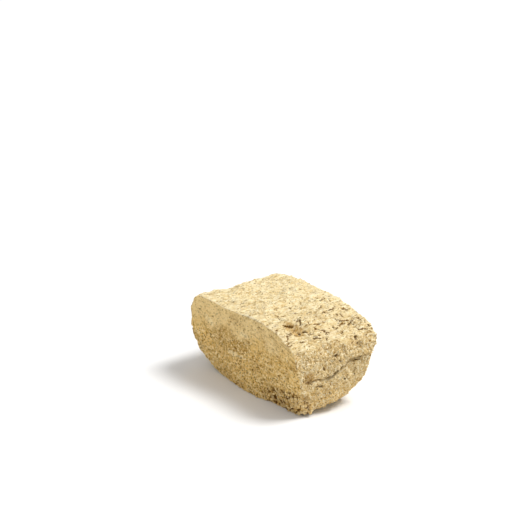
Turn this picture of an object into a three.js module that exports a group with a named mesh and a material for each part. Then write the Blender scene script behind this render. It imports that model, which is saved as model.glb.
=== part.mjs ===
// A hand-cut block of pressed sunflower halva, lying on its flat base.
//
// The halva was pressed as a bar that ran along Y, so its section in X and Z has rounded, bulging ends and a
// flaky top. Two knife cuts across the bar left the smoother faces at -Y and +Y, which lean in at the base.
// A seam between two pressed layers has opened into a crack along the near end, at +X.
// Millimetres, +Z up, X along the block. The origin lies on the base, under the middle of the block.
import * as THREE from "three";
import { ImprovedNoise } from "three/addons/math/ImprovedNoise.js";
import { mergeVertices } from "three/addons/utils/BufferGeometryUtils.js";

// Driving dimensions of the plain block, before its relief.
const NEAR_HEIGHT = 28.2;
const FAR_FRONT_HEIGHT = 30.2;
const FAR_BACK_HEIGHT = 28.9;
const NEAR_FRONT = 27.7; // from the middle of the bar to the near end of the top, along the front cut
const NEAR_BACK = 30.7; // the same along the back cut
const FAR_FRONT = 27.2; // from the middle of the bar to the far end of the top, along the front cut
const FAR_BACK = 32.4; // the same along the back cut
const FAR_WIDTH = 40; // top, at the far end
const NEAR_WIDTH = 34.5; // top, at the near end
const FRONT_LEAN = 5.5; // how far the front cut leans in from top to base, at its ends
const FRONT_FOOT_BOW = 2.0; // how far its base edge bows out again between them
// Where the knife dug into the top of the front cut: place and length as shares of the block's half length.
const FRONT_SCOOP = { u: 0.35, halfLength: 0.8, depth: 2.4 };
const BACK_LEAN_FAR = 4.5; // how far the back cut leans in, at each end
const BACK_LEAN_NEAR = 10;
const BACK_LEAN_CURVE = 1.8; // power: the back cut is upright at the top and leans in more towards the base
const BACK_BOW = 4.2; // how far the back cut bows out between its ends
const CROWN = 1.4; // how far the top rises between its edges
const CROWN_CURVE = 4; // power: only the upper part of the block rises or drops with the top

// The pressed ends.
const NEAR_BULGE = 3.4; // how far an end stands out past its top edge
const NEAR_BULGE_RISE = 0.6; // share of the height where it is fullest
const NEAR_BULGE_SPAN = 0.62; // share of the height from there to where the bulge has gone
const FAR_BULGE_FRONT = 6.3; // the far end is fuller along the front cut
const FAR_BULGE_BACK = 3.4;
const FAR_BULGE_RISE = 0.5;
const FAR_BULGE_SPAN = 0.5;
const BULGE_CURVE = 3; // power: the bulge fades from the end towards the middle
const TOP_RADIUS = 3.6;
const FAR_BASE_RADIUS = 10;
const NEAR_BASE_RADIUS_FRONT = 3.4;
const NEAR_BASE_RADIUS_BACK = 13; // the near base edge has crumbled away towards the back

// The crack between the pressed layers of the near end.
const CRACK_FRONT_RISE = 0.5; // share of the height at the front cut
const CRACK_BACK_RISE = 0.67;
const CRACK_CLIMB = [-0.2, 0.45]; // where its line leaves the front level and reaches the back one, -1 to 1
const CRACK_WANDER = 0.045; // how far it wanders, as a share of the height
const CRACK_WAVES = 3.6; // waves of its line in half the width
const CRACK_LIP = 0.7; // half of its opening
const CRACK_DEPTH = 3.4;
const CRACK_RAGGED = 0.65; // how much its depth varies, as a share
const CRACK_OVERHANG = 1.6; // how far the upper layer stands out over the lower one, at the back cut
const FAR_SEAM_DEPTH = 1.1; // the same seam has only begun to open at the far end
const NOTCH = { y: -13.5, z: 15.2, radius: 2.6, depth: 2.6 }; // a lump has dropped out where the crack begins

// The top layer, which breaks off in a ledge before the near end, and the lump torn out of it.
const LEDGE_SETBACK = 6.2; // from the near end's top edge
const LEDGE_WANDER = 1.5;
const LEDGE_WAVE = 5;
const LEDGE_DROP = 1.2;
const LEDGE_SLOPE = 1.3; // the drop takes this far
const LEDGE_RUN_OUT = [0.4, 0.9]; // where it runs out before the back cut, across the block from -1 to 1
const GOUGE = { x: 19.5, y: -10.8, halfLength: 6.2, halfWidth: 2.9, depth: 2.4 };
const GOUGE_FLOOR = 0.35; // share of its size that is flat floor
const GOUGE_TEAR = 0.35; // how ragged its rim is, as a share of its size
const GOUGE_TEAR_SIZE = 2.1;

// Relief of the surface.
const FLAKE_STEP = 0.85; // thickness of one flake of the top
const FLAKE_LENGTH = 15; // along the bar
const FLAKE_WIDTH = 7; // across the bar
const FLAKE_STEPS = 2.2; // flakes from a middling spot to a high one
const STEP_SLOPE = 0.28; // share of a step that its edge takes
const RIM_REACH = 6; // flakes lie flatter this near to a knife cut
const RIM_SHARE = 0.25; // what is left of their height at its edge
const GRAIN_SIZE = 3.2;
const TOP_GRAIN = 0.3;
const END_GRAIN = 0.5;
const CUT_GRAIN = 0.16;
const CRAG_STEP = 0.5; // height of one crag of the ends
const CRAG_SIZE = 5.5;
const CRAG_STEPS = 1.8;
const KNIFE_WANDER = 0.55;
const KNIFE_WAVE = 13;
const EDGE_CRUMBLE = 0.4; // how far the edge of a knife cut has crumbled
const EDGE_CRUMB_SIZE = 2.5;
const EDGE_WHOLE = -0.5; // the noise up to which that edge is still whole, -1 to 1

// Lumps along the foot of the block, largest round its near front corner.
const LUMP_SIZE = 2.3;
const LUMP_HEIGHT = 1.1;
const LUMP_SHARE_ELSEWHERE = 0.3;
const FOOT_HEIGHT = 9; // the crumbling fades out up to here
// Where the foot has crumbled away beside that corner: place and length as shares of the block's half length.
const FOOT_GAP = { u: 0.52, halfLength: 0.3, depth: 1.7 };

// The surface grid.
const GRID_STEP = 1.42;
const ROWS = Math.round(NEAR_HEIGHT / GRID_STEP);
const CRACK_ROW = Math.round((ROWS * (CRACK_FRONT_RISE + CRACK_BACK_RISE)) / 2);
const GATHER_FROM = 0.35; // share of the half length where grid rows start to gather at the crack

// Which way a face looks decides its relief: shares of its normal where a relief begins and is full.
const TOP_FACING = [0.55, 0.9];
const CUT_FACING = [0.6, 0.85];
const END_FACING = [0.4, 0.8];

const noise = new ImprovedNoise();
const { lerp, clamp, smoothstep } = THREE.MathUtils;

// Each relief reads a layer of its own in the noise.
const LAYERS = "crack root flakes grain ledge tear crags front back lumps edge".split(" ");
const LAYER_SHIFT = 13.7;

// Noise in a few octaves, about -1 to 1.
function rough(layer, octaves, x, y = 0, z = 0) {
  const shift = LAYER_SHIFT * (1 + LAYERS.indexOf(layer));
  let sum = 0;
  for (let octave = 0; octave < octaves; octave++) {
    const finer = 2 ** octave;
    sum += noise.noise(x * finer + shift, y * finer - shift, z * finer + shift) / finer;
  }
  return sum;
}

// The same at a point of the block, for lumps of one size.
function roughAt(layer, octaves, point, size) {
  return rough(layer, octaves, point.x / size, point.y / size, point.z / size);
}

// A height in steps: flat plates with short slopes between them.
function stepped(level) {
  const whole = Math.floor(level);
  return whole + smoothstep(level - whole, (1 - STEP_SLOPE) / 2, (1 + STEP_SLOPE) / 2);
}

// 1 in the middle of a spot, 0 from its rim outwards. The distance is a share of the spot's size.
function spot(distance, floor) {
  return 1 - smoothstep(distance, floor, 1);
}

// Share of the height where the crack runs, across the block from v -1 to 1.
function crackRise(v) {
  const level = lerp(CRACK_FRONT_RISE, CRACK_BACK_RISE, smoothstep(v, ...CRACK_CLIMB));
  return level + CRACK_WANDER * rough("crack", 3, CRACK_WAVES * v);
}

function gridRow(w) {
  return Math.round(((w + 1) / 2) * ROWS);
}

// A grid row's share of the height. Towards an end three rows gather at the crack: two lips and a root.
function rowRise(u, v, w) {
  const row = gridRow(w);
  const lip = CRACK_LIP / NEAR_HEIGHT;
  const seam = crackRise(v);
  const steps = row - CRACK_ROW;
  let gathered = seam + lip * steps;
  if (steps < -1) gathered = (seam - lip) * (row / (CRACK_ROW - 1));
  if (steps > 1) gathered = lerp(seam + lip, 1, (steps - 1) / (ROWS - CRACK_ROW - 1));
  return lerp(row / ROWS, gathered, smoothstep(Math.abs(u), GATHER_FROM, 1));
}

// A point of the section, moved so that a corner of its rectangle becomes an arc of the given radius.
function roundedSection(along, up, halfLength, halfHeight, radius) {
  const innerAlong = clamp(along, radius - halfLength, halfLength - radius);
  const innerUp = clamp(up, radius - halfHeight, halfHeight - radius);
  const outAlong = along - innerAlong;
  const outUp = up - innerUp;
  const reach = Math.max(Math.abs(outAlong), Math.abs(outUp));
  const length = Math.hypot(outAlong, outUp);
  const share = length > 0 ? reach / length : 0;
  return [innerAlong + outAlong * share, innerUp + outUp * share];
}

// The radius of the section's corner that a grid point is nearest to.
function cornerRadius(u, across, rise) {
  if (rise > 0.5) return TOP_RADIUS;
  if (u < 0) return FAR_BASE_RADIUS;
  return lerp(NEAR_BASE_RADIUS_FRONT, NEAR_BASE_RADIUS_BACK, across * across);
}

// How far an end stands out at a share of the height.
function endBulge(u, across, rise) {
  const most = u > 0 ? NEAR_BULGE : lerp(FAR_BULGE_FRONT, FAR_BULGE_BACK, across);
  const fullest = u > 0 ? NEAR_BULGE_RISE : FAR_BULGE_RISE;
  const span = u > 0 ? NEAR_BULGE_SPAN : FAR_BULGE_SPAN;
  const off = Math.min(1, Math.abs(rise - fullest) / span);
  return most * (1 - off * off) * Math.sign(u) * Math.abs(u) ** BULGE_CURVE;
}

// How far the top has dropped between the ledge and the near end.
function ledgeDrop(fromEnd, y, v) {
  const setback = LEDGE_SETBACK + LEDGE_WANDER * rough("ledge", 2, y / LEDGE_WAVE);
  const runOut = 1 - smoothstep(v, ...LEDGE_RUN_OUT);
  return LEDGE_DROP * runOut * (1 - smoothstep(fromEnd, setback - LEDGE_SLOPE, setback));
}

// A point of the plain block, from its place on a cube that runs from -1 to 1.
function plainPoint(u, v, w) {
  const lengthwise = (u + 1) / 2;
  const across = (v + 1) / 2;
  const near = lerp(NEAR_FRONT, NEAR_BACK, across);
  const far = -lerp(FAR_FRONT, FAR_BACK, across);
  const halfLength = (near - far) / 2;
  const height = lerp(lerp(FAR_FRONT_HEIGHT, FAR_BACK_HEIGHT, across), NEAR_HEIGHT, lengthwise);
  const halfHeight = height / 2;
  const level = rowRise(u, v, w);
  const radius = cornerRadius(u, across, level);
  const [along, up] = roundedSection(
    u * halfLength,
    level * height - halfHeight,
    halfLength,
    halfHeight,
    radius,
  );
  const rise = up / height + 0.5;
  const inMiddle = 1 - u * u;
  const frontLean = FRONT_LEAN - FRONT_FOOT_BOW * inMiddle * inMiddle;
  const scoop = FRONT_SCOOP.depth * spot(Math.abs(u - FRONT_SCOOP.u) / FRONT_SCOOP.halfLength, 0);
  const front = -FAR_WIDTH / 2 + frontLean * (1 - rise) + scoop * rise;
  const width = lerp(FAR_WIDTH, NEAR_WIDTH, lengthwise) + BACK_BOW * inMiddle;
  const backLean = lerp(BACK_LEAN_FAR, BACK_LEAN_NEAR, lengthwise);
  const back = -FAR_WIDTH / 2 + width - backLean * (1 - rise) ** BACK_LEAN_CURVE;
  const x = (near + far) / 2 + along + endBulge(u, across, rise);
  const y = lerp(front, back, across);
  const crown = CROWN * inMiddle * (1 - (v * v) / 2) - ledgeDrop(near - x, y, v);
  return new THREE.Vector3(x, y, up + halfHeight + crown * rise ** CROWN_CURVE);
}

// The top: flakes that overlap along the bar, and the gouge.
function topRelief(point, v) {
  const { x, y } = point;
  const fromCut = ((1 - Math.abs(v)) * FAR_WIDTH) / 2;
  const share = lerp(RIM_SHARE, 1, smoothstep(fromCut, 0, RIM_REACH));
  const flake = FLAKE_STEP * stepped(FLAKE_STEPS * rough("flakes", 3, x / FLAKE_WIDTH, y / FLAKE_LENGTH));
  const grain = TOP_GRAIN * roughAt("grain", 2, point, GRAIN_SIZE);
  const away = Math.hypot((x - GOUGE.x) / GOUGE.halfLength, (y - GOUGE.y) / GOUGE.halfWidth);
  const tear = GOUGE_TEAR * roughAt("tear", 1, point, GOUGE_TEAR_SIZE);
  const gouge = GOUGE.depth * spot(away + tear, GOUGE_FLOOR);
  return share * (flake + grain) - gouge;
}

// The pressed ends: porous and granular.
function endRelief(point) {
  const crag = CRAG_STEP * stepped(CRAG_STEPS * roughAt("crags", 2, point, CRAG_SIZE));
  return crag + END_GRAIN * roughAt("grain", 2, point, GRAIN_SIZE);
}

// The knife cuts: long shallow waves and a fine grain.
function cutRelief(point) {
  const side = point.y < 0 ? "front" : "back";
  const wave = KNIFE_WANDER * rough(side, 1, point.x / KNIFE_WAVE, point.z / KNIFE_WAVE);
  return wave + CUT_GRAIN * roughAt("grain", 2, point, GRAIN_SIZE);
}

// Lumps and a gap along the foot, where the halva has crumbled.
function footRelief(point, u, v) {
  const low = Math.max(0, 1 - point.z / FOOT_HEIGHT);
  const nearCorner = smoothstep(u, 0, 1) * (1 - smoothstep(v, -1, 0));
  const height = LUMP_HEIGHT * lerp(LUMP_SHARE_ELSEWHERE, 1, nearCorner);
  const lump = height * roughAt("lumps", 2, point, LUMP_SIZE);
  const gap = v === -1 ? FOOT_GAP.depth * spot(Math.abs(u - FOOT_GAP.u) / FOOT_GAP.halfLength, 0) : 0;
  return low * (lump - gap);
}

// How far the edge all round a knife cut has crumbled.
function edgeLoss(point, u, v, w) {
  const onEdge = Math.abs(v) === 1 && (Math.abs(u) === 1 || w === 1);
  const crumbled = roughAt("edge", 1, point, EDGE_CRUMB_SIZE) - EDGE_WHOLE;
  return onEdge ? EDGE_CRUMBLE * Math.max(0, crumbled) : 0;
}

// How far a grid point of an end moves in along X at the crack.
function crackLoss(point, u, v, w) {
  if (Math.abs(u) < 1) return 0;
  const steps = gridRow(w) - CRACK_ROW;
  const ragged = 1 + CRACK_RAGGED * rough("root", 2, CRACK_WAVES * v);
  if (u < 0) return steps === 0 ? FAR_SEAM_DEPTH * ragged : 0;
  const root = steps === 0 ? CRACK_DEPTH * ragged * Math.sqrt(smoothstep(v, -1, 0)) : 0;
  const towardsBack = smoothstep(v, 0, 1) * smoothstep(point.z, 0, FOOT_HEIGHT);
  const overhang = steps < 0 ? CRACK_OVERHANG * towardsBack : 0;
  const fromNotch = Math.hypot(point.y - NOTCH.y, point.z - NOTCH.z);
  const notch = NOTCH.depth * spot(fromNotch / NOTCH.radius, 0);
  return root + overhang + notch;
}

// Relief along the normal, by the way that the plain block faces.
function relief(point, normal, v) {
  const onTop = smoothstep(normal.z, ...TOP_FACING);
  const onCut = smoothstep(Math.abs(normal.y), ...CUT_FACING);
  const onEnd = smoothstep(Math.abs(normal.x), ...END_FACING);
  return onTop * topRelief(point, v) + onCut * cutRelief(point) + onEnd * endRelief(point);
}

// The block's closed surface: a gridded cube, moved to the plain block and then pushed along its normals.
function blockGeometry() {
  const columns = Math.round((NEAR_BACK + FAR_BACK) / GRID_STEP);
  const slices = Math.round(FAR_WIDTH / GRID_STEP);
  const box = new THREE.BoxGeometry(2, 2, 2, columns, slices, ROWS);
  box.deleteAttribute("normal");
  box.deleteAttribute("uv");
  const geometry = mergeVertices(box);
  const position = geometry.getAttribute("position");
  const cube = position.clone();
  for (let i = 0; i < position.count; i++) {
    position.setXYZ(i, ...plainPoint(cube.getX(i), cube.getY(i), cube.getZ(i)));
  }
  geometry.computeVertexNormals();
  const normals = geometry.getAttribute("normal");
  const point = new THREE.Vector3();
  const normal = new THREE.Vector3();
  for (let i = 0; i < position.count; i++) {
    const [u, v, w] = [cube.getX(i), cube.getY(i), cube.getZ(i)];
    const onRim = Math.abs(u) === 1 || Math.abs(v) === 1;
    if (w === -1 && !onRim) continue; // the base stays flat within its rim
    point.fromBufferAttribute(position, i);
    normal.fromBufferAttribute(normals, i);
    const push = relief(point, normal, v) + footRelief(point, u, v) - edgeLoss(point, u, v, w);
    const loss = crackLoss(point, u, v, w);
    point.addScaledVector(normal, push);
    position.setXYZ(i, point.x - Math.sign(u) * loss, point.y, Math.max(0, point.z));
  }
  geometry.deleteAttribute("normal");
  geometry.computeBoundingBox();
  const middle = geometry.boundingBox.getCenter(new THREE.Vector3());
  geometry.translate(-middle.x, -middle.y, 0);
  geometry.computeVertexNormals();
  return geometry;
}

const CREAM = 0xd9c08c;
const halva = new THREE.MeshStandardMaterial({ name: "halva", color: CREAM, roughness: 0.9, metalness: 0 });

const block = new THREE.Mesh(blockGeometry(), halva);
block.name = "halva_block";

const part = new THREE.Group();
part.add(block);

export default part;
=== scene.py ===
import math

import bmesh
import bpy
from mathutils import Color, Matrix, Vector


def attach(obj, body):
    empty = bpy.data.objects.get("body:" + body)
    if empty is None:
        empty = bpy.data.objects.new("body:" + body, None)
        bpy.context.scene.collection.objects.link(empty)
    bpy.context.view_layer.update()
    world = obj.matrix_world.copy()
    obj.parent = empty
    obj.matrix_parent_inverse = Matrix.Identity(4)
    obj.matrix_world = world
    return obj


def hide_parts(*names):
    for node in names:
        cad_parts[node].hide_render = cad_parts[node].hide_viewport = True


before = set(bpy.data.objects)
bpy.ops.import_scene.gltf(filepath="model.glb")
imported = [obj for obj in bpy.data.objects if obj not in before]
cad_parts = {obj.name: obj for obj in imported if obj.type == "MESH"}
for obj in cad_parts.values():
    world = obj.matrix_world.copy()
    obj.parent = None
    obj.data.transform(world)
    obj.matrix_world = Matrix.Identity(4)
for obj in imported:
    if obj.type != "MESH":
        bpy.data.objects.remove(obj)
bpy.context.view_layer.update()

# A hand-cut block of pressed sunflower halva. Its solid gives the form. This script gives the fine relief of
# its flaky top, porous ends and knife cuts, the small bits that lie on it, and its colour.
# The relief, the marks and the bits are in millimetres. The camera and the studio are in metres.
MM = 0.001
BLOCK_NODE = "halva_block"
BODY = "root"
MERGE_DISTANCE = 0.001 * MM
FLOOR_LEVEL = (-1.0, -1.0, 0.0)  # Z of the floor, with X and Y well outside the block
PATTERN_SHIFT = 17.3  # between the stretches of noise that two patterns read
MID_NOISE = (0.5, 0.5, 0.5)
FIRST_FIELD = 0.6  # the first field's part in a grain's shade, where two fields of cells are mixed
CORE = 0.5  # of a dot's or a stroke's half width, as far as it is marked in full
FULL_DOTS = 1 / 3  # of the dots have the full radius, and the others are smaller
SMALLEST_DOT = 0.01  # of its cell
ANY_ANGLE = math.pi
FULL_COLOUR = 255

# Camera and studio.
AZIMUTH = math.radians(52.5)
ELEVATION = math.radians(22)
CAMERA_DISTANCE = 0.55
AIM_POINT = Vector((0, 0, 0.014))  # in the middle of the block
AIM_PIXEL = (285, 344)  # where that point lies in the picture
PICTURE_SIDE = 512
FOCAL_PIXELS = 1529
SENSOR = 36
CLIP_START = 0.01
FLOOR_SIDE = 14
FLOOR_SHADE = 0.86
SKY_STRENGTH = 0.62
LAMP_SIDE = 1.2
LAMP_PLACE = Vector((0.90, 1.15, 2.65))
LAMP_POWER = 82

# Colours as the eye sees them, 0 to 255.
CREAM = (236, 217, 168)
# The ends' darker cream is partly painted shade.
END_CREAM = (215, 186, 130)
# The cuts' tan is partly their own colour and partly painted warm bounce light in shade.
CUT_TAN_AND_WARM_BOUNCE = (242, 201, 120)
LIGHT_TAN = (255, 232, 176)
PALE = (252, 240, 205)
TAN = (200, 160, 88)
AMBER = (196, 153, 78)
BROWN = (132, 87, 19)
# Painted shade in the pits and along the torn strokes.
CREVICE_SHADE = (92, 59, 13)
HULL = (80, 57, 21)

# Roughness and specular level of each material.
FINISHES = {
    "halva paste": (0.9, 0.06),
    "halva fibres": (0.85, 0.1),
    "halva crumbs": (0.9, 0.06),
    "hull skin": (0.7, 0.15),
    "pale floor": (0.9, 0.1),
}

# Relief of the block. A size is what one lump measures along X, Y and Z, and a radius is in lump sizes.
# Smoothing is in rounds, a fill is a share of the depth, and a stray is how far a mark wanders off.
RELIEF = {
    "Subdivisions": 2,
    "Smoothing": 3,
    "Hollow smoothing": 11,
    "Hollow fill": 0.5,
    "Gouge smoothing": 60,
    "Gouge fill": 0.65,
    "Ragged size": (1.4, 1.4, 1.4),
    "Ragged reach": 1.4,
    "Rim smoothing": 7,
    "Fibre size": (0.6, 2.4, 0.6),
    "Fibre height": 0.4,
    "Flake size": (2.4, 5.5, 2.4),
    "Flake step": 0.27,
    "Flake steps": 3.0,
    "Dash depth": 0.3,
    "Plate gap depth": 0.4,
    "Hollow roughness": 1.1,
    "Lump size": (2.3, 2.3, 2.3),
    "Lump height": 0.25,
    "Crumb size": (1.0, 1.0, 1.0),
    "Crumb radius": 0.45,
    "Crumb height": 0.42,
    "Crumb stray size": (1.3, 1.3, 1.3),
    "Crumb stray": 0.4,
    "Grain size": (0.75, 0.75, 0.75),
    "Grain height": 0.36,
    "Hole depth": 0.8,
    "Pore depth": 0.4,
    "Scratch height": 0.14,
    "Cut grain height": 0.3,
    "Torn depth": 0.7,
    "Foot start": 0.5,
    "Foot height": 7.0,
    "Foot crumb size": (1.8, 1.8, 1.8),
    "Foot crumb radius": 0.4,
    "Foot crumb height": 0.5,
    "Stroke depth": 0.5,
    "Corner crumb radius": 0.4,
    "Corner crumb height": 1.2,
}
# Marks that both the relief and the colour draw. A share is how many of the cells have the mark.
MARKS = {
    "Stroke stray size": (1.1, 1.1, 1.1),
    "Stroke stray": 0.4,
    "Stroke edge stray size": (0.45, 0.45, 0.45),
    "Stroke edge stray": 0.3,
    "Break size": (0.8, 0.8, 0.8),
    "Break strength": 1.5,
    "Dash size": (0.9, 2.6, 0.9),
    "Dash radius": 0.28,
    "Dash share": 0.9,
    "Dash stray size": (0.9, 1.8, 0.9),
    "Dash stray": 0.3,
    "Dash cluster size": (6.0, 9.0, 6.0),
    "Plate size": (4.0, 7.5, 4.0),
    "Plate stray size": (2.0, 3.0, 2.0),
    "Plate stray": 0.9,
    "Plate opening size": (3.0, 5.0, 3.0),
    "Smooth flake size": (5.0, 11.0, 5.0),
    "Hole size": (3.0, 3.0, 3.0),
    "Hole radius": 0.15,
    "Hole share": 0.4,
    "Hole stray size": (0.9, 0.9, 0.9),
    "Hole stray": 0.35,
    "Pore size": (1.1, 1.1, 1.1),
    "Pore radius": 0.3,
    "Pore share": 0.6,
    "Cut pore size": (1.1, 1.1, 1.1),
    "Cut pore radius": 0.38,
    "Cut pore share": 0.5,
    "Cut pore stray size": (0.9, 0.9, 0.9),
    "Cut pore stray": 0.3,
    "Torn size": (9.0, 9.0, 6.0),
    "Scratch size": (7.0, 7.0, 0.5),
    "Hollow roughness size": (1.1, 1.1, 1.1),
    "Corner crumb size": (1.25, 1.25, 1.25),
    "Corner crumb stray size": (1.5, 1.5, 1.5),
    "Corner crumb stray": 0.5,
}
KNIFE_TILT = math.radians(-13)  # of the scratches on the knife cuts
# What only the colour draws.
PASTE = {
    "Cloud size": (6.0, 6.0, 6.0),
    "Cut tone stray size": (9.0, 9.0, 6.0),
    "Cut tone stray": 7.0,
    "Smear stray size": (2.0, 2.0, 1.2),
    "Smear stray": 1.2,
    "Mottle size": (1.6, 1.6, 1.2),
    "Streak size": (0.8, 3.6, 0.8),
    "Streak stray size": (2.0, 3.0, 2.0),
    "Streak stray": 0.8,
    "Torn lump size": (1.2, 1.2, 1.2),
    "Torn lump stray size": (1.6, 1.6, 1.6),
    "Torn lump stray": 1.5,
    "Grainy patch size": (4.0, 4.0, 3.0),
    "Shade size": (0.5, 0.5, 0.5),
    "Top shade size": (0.45, 1.3, 0.45),
    "Shade stray size": (0.9, 0.9, 0.9),
    "Shade stray": 0.4,
    "Speck size": (1.2, 1.2, 1.2),
    "Speck radius": 0.27,
    "Speck share": 0.5,
    "Grit size": (0.28, 0.28, 0.28),
    "Bump strength": 0.9,
    "Bump depth": 0.2,
}

# Each pattern's number, which sets the stretch of noise that it reads.
PATTERNS = {
    "Fibre": 1, "Flake": 2, "Dash": 5, "Lump": 6, "Crumb": 7, "End grain": 8, "Hole": 9, "Pore": 10,
    "Scratch": 11, "Cut grain": 12, "Torn": 13, "Tear": 14, "Cut pore": 15, "Corner crumb": 16,
    "Smooth flake": 17, "Foot crumb": 18, "Ragged": 20, "Stroke stray": 21, "Dash stray": 22,
    "Hole stray": 23, "Cut pore stray": 24, "Crumb stray": 25, "Smear stray": 26, "Corner crumb stray": 27,
    "Cut tone stray": 28, "Torn lump stray": 29, "Bend": 30, "Cloud": 31, "Top shade": 32, "Shade": 33,
    "Speck": 34, "Grit": 35, "Shade stray": 36, "Streak": 37, "Dash cluster": 38, "Plate stray": 39,
    "Plate": 40, "Plate opening": 41, "Hollow roughness": 43, "Mottle": 44, "Streak stray": 45,
    "Torn lump": 46, "Grainy patch": 47, "Stroke edge stray": 49, "Second top shade": 52,
    "Second shade": 53, "Break": 53,
}
# Each random draw's number in strewn bits.
DRAWS = {"Turn": 2, "Tilt": 3, "Size": 5, "Shade": 7}

# Where a value begins to count, and where it counts in full.
SPANS = {
    # Along an axis of the block, in millimetres.
    "Top strokes": (24.0, 25.5),
    "Near end": (26.0, 28.5),
    "Front cut": (-17.0, -15.5),
    "Gouge": (22.0, 24.0),
    "Nearer dashes": (-15.0, 20.0),
    "Nearer plates": (-8.0, 12.0),
    "Nearer top": (5.0, 25.0),
    "Nearer scratches": (-5.0, 15.0),
    "Smooth cut": (17.5, 24.5),
    "Speckled cut": (12.0, 26.0),
    "Low end bounce light": (6.0, 14.0),
    "End bounce light": (18.0, 24.0),
    # Depth under the smoothed surface and height of the relief, in millimetres.
    "Hollow": (0.1, 0.45),
    "Deep": (0.35, 0.9),
    "Bulge": (0.15, 0.5),
    "Shade in sunk relief": (-0.7, 0.0),
    "Highlight on raised relief": (0.05, 0.5),
    # How far a face looks up, or across for a cut, -1 to 1.
    "Top": (0.45, 0.85),
    "Cut": (0.6, 0.85),
    "Base": (-0.97, -0.85),
    "Gouge bed": (0.0, 0.5),
    # Levels of noise and shades, and distances in cell sizes.
    "Rim": (0.02, 0.3),
    "Flake edge": (0.35, 0.65),
    "Broken": (0.35, 0.85),
    "Dash clusters": (-0.2, 0.25),
    "Plate openings": (-0.05, 0.2),
    "Plate gap": (0.02, 0.075),
    "Torn": (0.05, 0.35),
    "Smooth flakes": (0.12, 0.4),
    "Corner gap": (0.4, 0.65),
    "Clouds": (-0.3, 0.5),
    "Mottle": (0.05, 0.35),
    "Scratches": (0.05, 0.35),
    "Streaks": (0.05, 0.3),
    "Torn lumps": (-0.2, 0.2),
    "Grainy patches": (-0.25, 0.25),
    "Shade blotches in hollows": (-0.3, 0.2),
    "Light grains": (0.58, 0.76),
    "Dark grains": (0.16, 0.36),
    "Tan fibres": (0.0, 0.5),
    "Pale fibres": (0.3, 1.0),
    "Tan crumbs": (0.0, 0.35),
    "Cream crumbs": (0.5, 1.0),
}

# How strong something is, or how far a colour covers what lies under it, 0 to 1.
SHARES = {
    "Back cut without warm shade": 0.75,
    "Darker cut patch": 0.8,
    "Smooth cut": 0.5,
    "Smears": 0.8,
    "Light mottle": 0.3,
    "Dark mottle": 0.35,
    "Light scratches": 0.55,
    "Dark scratches": 0.45,
    "Pale streaks": 0.6,
    "Tan streaks": 0.45,
    "Smooth flakes": 0.5,
    "Nearer top": 0.22,
    "Low end bounce light": 0.7,
    "End bounce light": 0.18,
    "Rim highlight": 0.5,
    "Light grains on ends": 0.8,
    "Dark grains on ends": 0.65,
    "Dark against light grains on top": 0.75,
    "Grains on cuts": 0.25,
    "Grains on grainy cuts": 0.3,
    "Grains low on cuts": 0.45,
    "Highlight on raised relief": 0.3,
    "Holes": 0.8,
    "Pores": 0.5,
    "Shade in pits": 0.9,
    "Deep shade in pits on top": 0.5,
    "Deep shade in pits low on cuts": 0.7,
    "Deep": 0.9,
    "Shade in strokes on top": 0.85,
    "Shade in strokes on cuts": 0.8,
    "Specks": 0.8,
    "End cream bits": 0.6,
    "Cut tan bits": 0.8,
    "Tan fibres": 0.5,
    "Pale fibres": 0.5,
    "Tan crumbs": 0.6,
    "Cream crumbs": 0.7,
    # On the top, the ends and the cuts.
    "Clouds": (0.15, 0.2, 0.5),
    "Shade in sunk relief": (0.4, 0.2, 0.3),
    # From where a pattern is absent to where it is in full.
    "Relief at rim": (1.0, 0.3),
    "Fibres on smooth flakes": (1.0, 0.3),
    "Lift on top": (1.0, 0.3),
    "Nearer dashes": (0.5, 1.0),
    "Pores in torn patches": (0.5, 1.0),
    "Nearer scratches": (0.4, 1.0),
    "Mottle on smooth cut": (1.0, 0.4),
    "Grains on smooth flakes": (0.7, 0.35),
    "Shade blotches in hollows": (0.9, 0.3),
    "Torn lumps": (0.4, 0.75),
    "Shade in strokes on deep ends": (0.6, 0.1),
}

# Torn marks, as strokes from one place to another with a half width. Those of the top are X and Y.
TOP_STROKES = [
    ((16.0, -11.5), (17.5, -10.5), 0.65),
    ((15.5, -12.5), (16.5, -12.0), 0.5),
    ((22.5, -16.5), (23.0, -15.0), 0.5),
    ((23.0, -13.5), (22.5, -11.0), 0.65),
    ((19.0, -12.5), (20.5, -11.0), 0.4),
    ((23.0, -10.0), (24.0, -9.0), 0.5),
    ((25.5, -9.5), (26.0, -8.0), 0.5),
    ((28.5, -9.5), (29.0, -7.5), 0.6),
    ((27.0, -6.5), (27.0, -6.0), 0.5),
    ((27.5, -14.5), (28.0, -13.5), 0.5),
    ((26.0, -3.0), (27.5, -3.0), 0.5),
    ((29.0, -4.5), (30.5, -5.5), 0.4),
    ((29.5, 1.5), (29.5, 2.0), 0.5),
    ((6.0, 11.0), (5.0, 15.5), 0.5),
    ((14.5, 5.5), (13.5, 11.0), 0.5),
    ((15.0, 14.0), (15.5, 16.0), 0.5),
    ((21.5, 5.5), (23.5, 6.0), 0.5),
    ((26.0, 7.5), (24.5, 11.5), 0.5),
    ((26.0, 12.0), (26.5, 12.5), 0.6),
    ((26.0, 9.0), (27.5, 10.0), 0.4),
    ((24.5, 2.0), (25.5, 3.0), 0.5),
    ((16.0, -6.0), (19.5, -8.5), 0.4),
    ((10.5, -11.5), (13.0, -11.5), 0.5),
    ((30.0, 13.0), (30.5, 13.0), 0.6),
]
# The paste torn out of the gouge, and the wider bed that is filled up again.
GOUGE = [((17.0, -11.5), (22.0, -12.0), 3.4)]
GOUGE_BED = [((15.0, -11.0), (24.0, -11.0), 4.0)]
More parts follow.
